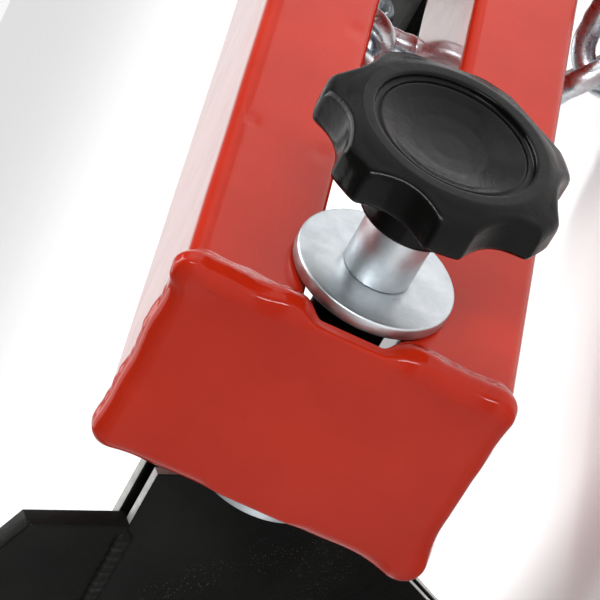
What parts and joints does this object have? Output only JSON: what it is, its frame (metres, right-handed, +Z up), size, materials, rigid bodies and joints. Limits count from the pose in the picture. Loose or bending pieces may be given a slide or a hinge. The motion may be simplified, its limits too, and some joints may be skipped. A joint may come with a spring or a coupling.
{
  "type": "wheel chock",
  "caption": "Adjustable wheel chock: a slotted twin-rail spine with end plates carries sliding, swivelling jaws clamped by star knobs, and a retaining chain with a snap hook.",
  "frame": {"origin": "centre of the part's box, on the ground", "axes": "+X along the spine, +Y from the knobs towards the jaw tips, +Z up"},
  "size_m": [0.554, 0.2764, 0.1228],
  "materials": {
    "red_paint": "glossy red paint over welded steel",
    "black_coat": "textured black powder coat",
    "zinc_plate": "bright zinc plating",
    "zinc_chain": "bright zinc plating on welded links",
    "knob_plastic": "polished black phenolic moulding",
    "brass_insert": "turned brass threaded insert",
    "black_rubber": "moulded black rubber"
  },
  "bodies": {
    "root": {"upper_rail": "red_paint", "lower_rail": "red_paint", "near_end_plate": "red_paint", "far_end_plate": "red_paint", "middle_foot_bracket": "red_paint", "middle_foot_pad": "black_rubber", "middle_foot_bolt": "zinc_plate", "middle_foot_nut": "zinc_plate", "chain_lug": "red_paint", "hook_lug": "red_paint"},
    "near_slider": {"near_thrust_washer": "zinc_plate"},
    "near_jaw": {"near_pivot_post": "black_coat", "near_clamp_stud": "zinc_plate", "near_outer_jaw_plate": "black_coat", "near_inner_jaw_plate": "black_coat", "near_jaw_wing": "black_coat", "near_jaw_end_bar": "black_coat", "near_jaw_spacers": "zinc_plate", "near_tyre_pad": "black_rubber", "near_pad_bolts": "zinc_plate", "near_pad_nuts": "zinc_plate", "near_jaw_foot": "black_rubber"},
    "near_clamp": {"near_clamp_washer": "zinc_plate", "near_clamp_collar": "zinc_plate"},
    "near_grip": {"near_knob": "knob_plastic", "near_knob_insert": "brass_insert"},
    "far_slider": {"far_thrust_washer": "zinc_plate"},
    "far_jaw": {"far_pivot_post": "black_coat", "far_clamp_stud": "zinc_plate", "far_outer_jaw_plate": "black_coat", "far_inner_jaw_plate": "black_coat", "far_jaw_wing": "black_coat", "far_jaw_end_bar": "black_coat", "far_jaw_spacers": "zinc_plate", "far_tyre_pad": "black_rubber", "far_pad_bolts": "zinc_plate", "far_pad_nuts": "zinc_plate", "far_jaw_foot": "black_rubber"},
    "far_clamp": {"far_clamp_washer": "zinc_plate", "far_clamp_collar": "zinc_plate"},
    "far_grip": {"far_knob": "knob_plastic", "far_knob_insert": "brass_insert"},
    "chain_drop": {"hanging_chain_links": "zinc_chain"},
    "chain_tail": {"lying_chain_links": "zinc_chain", "snap_hook_body": "zinc_chain", "snap_hook_pin": "zinc_chain"},
    "hook_gate": {"snap_hook_gate": "zinc_chain"}
  },
  "joints": [
    {"name": "near_jaw_slide", "type": "slide", "parent": "root", "child": "near_slider", "axis": [1, 0, 0], "range_m": [0, 0.09]},
    {"name": "near_jaw_swivel", "type": "hinge", "parent": "near_slider", "child": "near_jaw", "pos_m": [-0.2412, -0.09685, 0.06943], "axis": [0, -1, 0], "range_deg": [0, 29]},
    {"name": "near_clamp_travel", "type": "slide", "parent": "near_jaw", "child": "near_clamp", "axis": [0, -1, 0], "range_m": [-0.00045, 0.0031]},
    {"name": "near_knob_turn", "type": "hinge", "parent": "near_clamp", "child": "near_grip", "pos_m": [-0.2412, -0.09685, 0.06943], "axis": [0, -1, 0], "range_deg": [-100, 720]},
    {"name": "far_jaw_slide", "type": "slide", "parent": "root", "child": "far_slider", "axis": [-1, 0, 0], "range_m": [0, 0.09]},
    {"name": "far_jaw_swivel", "type": "hinge", "parent": "far_slider", "child": "far_jaw", "pos_m": [0.2412, -0.09685, 0.06943], "axis": [0, 1, 0], "range_deg": [0, 29]},
    {"name": "far_clamp_travel", "type": "slide", "parent": "far_jaw", "child": "far_clamp", "axis": [0, -1, 0], "range_m": [-0.00045, 0.0031]},
    {"name": "far_knob_turn", "type": "hinge", "parent": "far_clamp", "child": "far_grip", "pos_m": [0.2412, -0.09685, 0.06943], "axis": [0, -1, 0], "range_deg": [-100, 720]},
    {"name": "chain_swing", "type": "hinge", "parent": "root", "child": "chain_drop", "pos_m": [-0.057, -0.03085, 0.08643], "axis": [1, 0, 0], "range_deg": [0, 16]},
    {"name": "chain_trail", "type": "hinge", "parent": "chain_drop", "child": "chain_tail", "pos_m": [-0.057, -0.03085, 0.02643], "axis": [1, 0, 0], "range_deg": [-16, 0]},
    {"name": "hook_gate_open", "type": "hinge", "parent": "chain_tail", "child": "hook_gate", "pos_m": [0.15425, -0.0939, 0.00713], "axis": [-0.051, -0.2887, -0.9561], "range_deg": [0, 24], "stiffness_Nm_per_rad": 0.05, "springref_deg": -17.19}
  ],
  "couplings": [
    {"joint": "near_clamp_travel", "follows": "near_knob_turn", "m_per_rad": 0.00023873},
    {"joint": "far_clamp_travel", "follows": "far_knob_turn", "m_per_rad": 0.00023873},
    {"joint": "chain_trail", "follows": "chain_swing", "ratio": -1}
  ]
}
